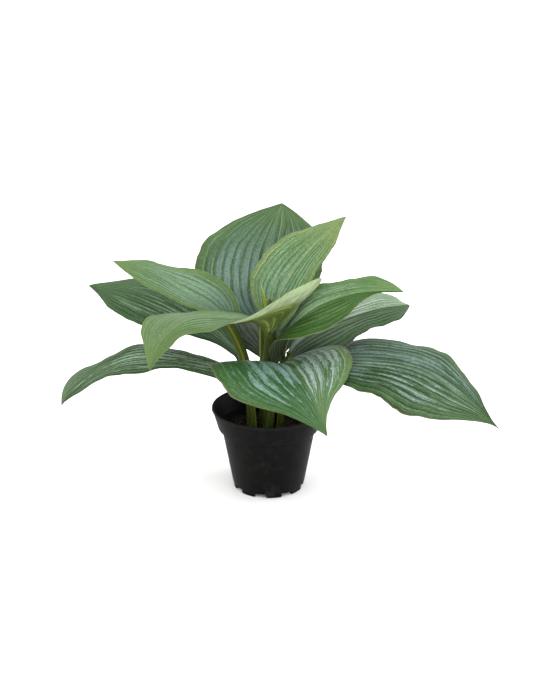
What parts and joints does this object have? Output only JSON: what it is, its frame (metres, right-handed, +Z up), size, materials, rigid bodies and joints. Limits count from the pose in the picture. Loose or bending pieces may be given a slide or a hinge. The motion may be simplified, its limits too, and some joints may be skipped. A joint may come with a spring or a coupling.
{
  "type": "potted hosta plant",
  "caption": "Leafy hosta plant in a tapered black grower pot with soil: broad, ribbed, pointed leaves on long stalks, for a patio, garden bed or shelf.",
  "frame": {"origin": "on the pot's axis at the floor under its feet", "axes": "+Z up along the pot's axis; +X to the right and -Y towards the viewer, with the longest leaf reaching out to +X"},
  "size_m": [0.4518, 0.2554, 0.2865],
  "materials": {
    "pot": "matte black moulded plastic",
    "soil": "rough, moist dark potting soil",
    "leaf": "satin green leaf with parallel veins",
    "shoot": "satin yellow-green young leaf"
  },
  "bodies": {
    "root": {"pot": "pot", "soil": "soil", "leaf_back_upright": "leaf", "leaf_upright_right": "leaf", "leaf_upper_left": "leaf", "leaf_mid_left": "leaf", "leaf_front_left": "leaf", "leaf_upper_right": "leaf", "leaf_mid_right": "leaf", "leaf_low_right": "leaf", "leaf_front": "leaf", "leaf_low_left": "leaf", "leaf_back_low": "leaf", "young_shoot_tall": "shoot", "young_shoot_short": "shoot"}
  },
  "joints": []
}
